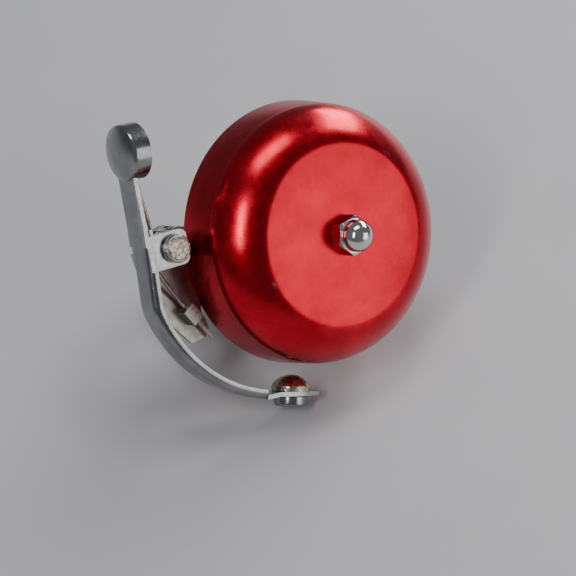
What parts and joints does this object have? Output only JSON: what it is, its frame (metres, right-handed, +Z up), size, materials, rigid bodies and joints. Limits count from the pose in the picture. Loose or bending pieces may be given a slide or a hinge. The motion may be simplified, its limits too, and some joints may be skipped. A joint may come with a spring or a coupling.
{
  "type": "bicycle bell",
  "caption": "Handlebar bell: round red dome on a post, sprung thumb lever with a rivet hammer, bent bracket and a screw clamp band for the bar",
  "frame": {"origin": "centre of the handlebar bore, below the dome's centre", "axes": "X along the handlebar, Y toward the side with the lever's pivot, Z up along the dome's axis"},
  "size_m": [0.0696, 0.0797, 0.06],
  "materials": {
    "dome": "candy red anodised, satin face and bright skirt",
    "acorn_nut": "bright nickel plate",
    "dome_post": "turned steel",
    "saddle_washer": "zinc plated",
    "dome_seat_washer": "black rubber",
    "dome_spring_washer": "hardened spring steel",
    "clamp_band": "nickel plated strip",
    "bar_liner": "black rubber",
    "clamp_screw": "zinc plated steel",
    "clamp_screw_washer": "zinc plated steel",
    "clamp_nut": "zinc plated steel",
    "lever_bracket": "worn nickel plate",
    "strike_lever": "worn nickel plate",
    "hammer_head": "plated steel",
    "hammer_rivet_cap": "plated steel",
    "pivot_rivet": "hammered steel end",
    "pivot_upper_washer": "plain steel",
    "pivot_lower_washer": "plain steel",
    "spring_sleeve": "plain brass",
    "torsion_spring": "drawn spring wire"
  },
  "bodies": {
    "clamp": {"clamp_band": "clamp_band", "bar_liner": "bar_liner", "clamp_nut": "clamp_nut", "lever_bracket": "lever_bracket", "dome_post": "dome_post", "saddle_washer": "saddle_washer", "dome_seat_washer": "dome_seat_washer", "dome_spring_washer": "dome_spring_washer", "dome": "dome", "acorn_nut": "acorn_nut", "pivot_rivet": "pivot_rivet", "pivot_upper_washer": "pivot_upper_washer", "pivot_lower_washer": "pivot_lower_washer", "spring_sleeve": "spring_sleeve", "torsion_spring": "torsion_spring"},
    "lever": {"strike_lever": "strike_lever", "hammer_head": "hammer_head", "hammer_rivet_cap": "hammer_rivet_cap"},
    "screw_carrier": {"clamp_screw_washer": "clamp_screw_washer"},
    "screw": {"clamp_screw": "clamp_screw"}
  },
  "joints": [
    {"name": "lever_swing", "type": "hinge", "parent": "clamp", "child": "lever", "pos_m": [-0.0037, 0.0363, 0.018], "axis": [0, 0, -1], "range_deg": [-3.8, 20], "stiffness_Nm_per_rad": 0.12, "deforming": ["torsion_spring"]},
    {"name": "clamp_screw_travel", "type": "slide", "parent": "clamp", "child": "screw_carrier", "axis": [0, 0, -1], "range_m": [0, 0.003]},
    {"name": "clamp_screw_turn", "type": "hinge", "parent": "screw_carrier", "child": "screw", "pos_m": [-0.0038, 0.01762, 0], "axis": [0, 0, -1], "range_deg": [0, 1350.2]}
  ],
  "couplings": [
    {"joint": "clamp_screw_turn", "follows": "clamp_screw_travel", "rad_per_m": 7854}
  ]
}
